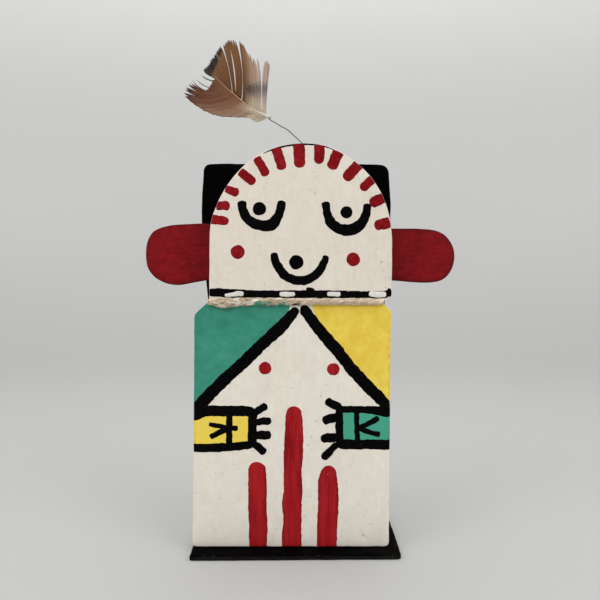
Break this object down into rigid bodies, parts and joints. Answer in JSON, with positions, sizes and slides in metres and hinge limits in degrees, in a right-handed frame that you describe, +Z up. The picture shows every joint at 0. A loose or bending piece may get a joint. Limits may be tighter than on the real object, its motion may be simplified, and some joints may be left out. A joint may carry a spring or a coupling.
{
  "type": "painted wooden doll figure",
  "caption": "Free-standing flat wooden doll with a painted face and dress, side ears, a thin base plate and a feather on a swaying wire.",
  "frame": {"origin": "centre of the base plate's underside", "axes": "+Z up along the doll's height, the painted front faces -Y, +X is to the viewer's right when looking at the front"},
  "size_m": [0.1469, 0.0704, 0.234],
  "materials": {
    "base_black": "satin black paint on thin hardboard",
    "body_cream": "satin cream paint",
    "head_cream": "satin cream paint",
    "hair_black": "satin black paint",
    "ear_red": "satin dark red paint",
    "twine_jute": "loose natural fibre",
    "screw_steel": "plain",
    "wire_steel": "dull",
    "quill_cream": "horny keratin",
    "feather_barbs": "soft barbs"
  },
  "bodies": {
    "doll": {"base_plate": "base_black", "body_board": "body_cream", "head_board": "head_cream", "hair_board": "hair_black", "ear_left": "ear_red", "ear_right": "ear_red", "neck_twine": "twine_jute", "base_screw_left": "screw_steel", "base_screw_right": "screw_steel", "back_screw_body_left": "screw_steel", "back_screw_body_right": "screw_steel", "back_screw_head_left": "screw_steel", "back_screw_head_right": "screw_steel", "ear_brad_left_low": "screw_steel", "ear_brad_left_high": "screw_steel", "ear_brad_right_low": "screw_steel", "ear_brad_right_high": "screw_steel"},
    "wire_foot": {"wire_shank": "wire_steel"},
    "feather": {"wire_stem": "wire_steel", "feather_quill": "quill_cream", "feather_vane_upper": "feather_barbs", "feather_vane_lower": "feather_barbs"}
  },
  "joints": [
    {"name": "wire_swivel", "type": "hinge", "parent": "doll", "child": "wire_foot", "pos_m": [0.004, -0.0155, 0.1846], "axis": [0, 0, 1], "continuous": true},
    {"name": "feather_sway", "type": "hinge", "parent": "wire_foot", "child": "feather", "pos_m": [0.004, -0.0155, 0.185], "axis": [0, 1, 0], "range_deg": [-20, 20], "stiffness_Nm_per_rad": 0.03}
  ]
}
